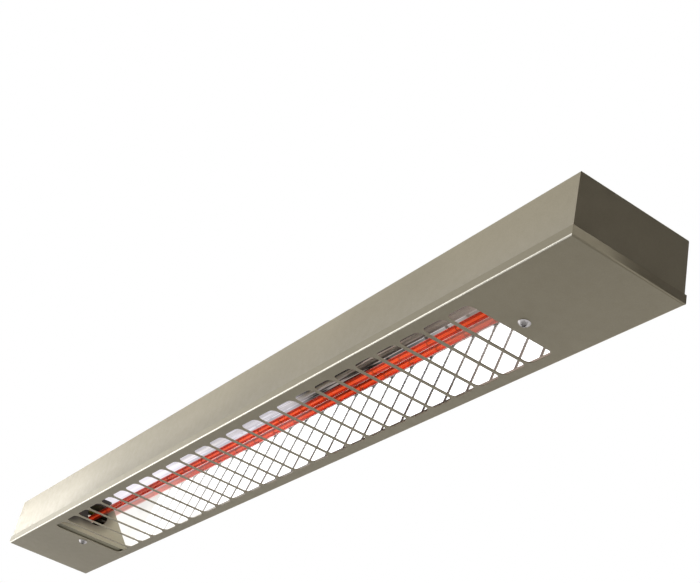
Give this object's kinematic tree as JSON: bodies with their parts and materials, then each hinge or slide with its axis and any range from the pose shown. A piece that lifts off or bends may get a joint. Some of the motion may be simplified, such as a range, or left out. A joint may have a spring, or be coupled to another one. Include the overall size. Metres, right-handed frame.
{
  "type": "infrared patio heater",
  "caption": "Long surface-mounted infrared patio heater: folded casing, slotted face plate, mirror trough and one glowing quartz lamp.",
  "frame": {"origin": "centre of the casing's flat back, which lies against the ceiling or soffit", "axes": "+Z out of the back into the ceiling, +X along the casing towards its plain end cap, the cable gland at the -X end"},
  "size_m": [1.2197, 0.127, 0.0695],
  "materials": {
    "casing_paint": "satin metallic taupe paint",
    "plate_paint": "satin metallic taupe paint",
    "bulkhead_paint": "matt taupe paint",
    "zinc": "zinc plated",
    "rivet_aluminium": "bright",
    "board": "matt mineral board",
    "mirror_aluminium": "polished bright aluminium",
    "silicone": "matt silicone",
    "clip_plastic": "matt",
    "ceramic": "glazed steatite",
    "brass": "plain",
    "lead_sleeve": "woven heat-proof sleeve",
    "earth_sleeve": "woven heat-proof sleeve",
    "gland_rubber": "matt",
    "gland_plastic": "moulded",
    "ruby_quartz": "clear ruby quartz, lit",
    "filament": "glowing tungsten",
    "contact_steel": "plain spring steel",
    "screw_steel": "bright plated",
    "retainer_plastic": "matt nylon"
  },
  "bodies": {
    "casing": {"housing_channel": "casing_paint", "end_cap_left": "casing_paint", "end_cap_right": "casing_paint", "bulkhead_left": "bulkhead_paint", "bulkhead_right": "bulkhead_paint", "plate_nut_left": "zinc", "plate_nut_right": "zinc", "blind_rivets": "rivet_aluminium", "insulation_board": "board", "reflector": "mirror_aluminium", "lead_grommets": "silicone", "lead_clips": "clip_plastic", "holder_bracket_left": "zinc", "holder_bracket_right": "zinc", "lampholder_left": "ceramic", "lampholder_right": "ceramic", "holder_screws": "zinc", "terminal_block": "ceramic", "terminal_tubes": "brass", "terminal_screws": "brass", "terminal_fixings": "zinc", "earth_stud": "zinc", "earth_washers": "zinc", "earth_nuts": "brass", "lead_live": "lead_sleeve", "lead_return": "lead_sleeve", "lead_earth": "earth_sleeve", "gland_washer": "gland_rubber", "gland_body": "gland_plastic", "gland_seal": "gland_rubber", "gland_dome_nut": "gland_plastic", "gland_locknut": "gland_plastic"},
    "face_cover": {"face_plate": "plate_paint"},
    "left_screw": {"face_screw_left": "screw_steel", "screw_retainer_left": "retainer_plastic"},
    "right_screw": {"face_screw_right": "screw_steel", "screw_retainer_right": "retainer_plastic"},
    "lamp": {"lamp_tube": "ruby_quartz", "lamp_filament": "filament", "filament_supports": "zinc", "lamp_base_left": "ceramic", "lamp_base_right": "ceramic", "lamp_contacts": "contact_steel"},
    "left_contact": {"contact_plunger_left": "brass", "plunger_spring_left": "contact_steel"},
    "right_contact": {"contact_plunger_right": "brass", "plunger_spring_right": "contact_steel"}
  },
  "joints": [
    {"name": "face_plate_drop", "type": "slide", "parent": "casing", "child": "face_cover", "axis": [0, 0, -1], "range_m": [0, 0.06]},
    {"name": "face_screw_left_turn", "type": "hinge", "parent": "face_cover", "child": "left_screw", "pos_m": [-0.474, 0, -0.066], "axis": [0, 0, 1], "continuous": true},
    {"name": "face_screw_right_turn", "type": "hinge", "parent": "face_cover", "child": "right_screw", "pos_m": [0.4707, 0, -0.066], "axis": [0, 0, 1], "continuous": true},
    {"name": "lamp_float", "type": "slide", "parent": "casing", "child": "lamp", "axis": [1, 0, 0], "range_m": [-0.0015, 0.0015], "stiffness_N_per_m": 3000},
    {"name": "left_contact_travel", "type": "slide", "parent": "casing", "child": "left_contact", "axis": [1, 0, 0], "range_m": [-0.0015, 0.0015]},
    {"name": "right_contact_travel", "type": "slide", "parent": "casing", "child": "right_contact", "axis": [1, 0, 0], "range_m": [-0.0015, 0.0015]}
  ],
  "couplings": [
    {"joint": "left_contact_travel", "follows": "lamp_float", "ratio": 1},
    {"joint": "right_contact_travel", "follows": "lamp_float", "ratio": 1}
  ]
}
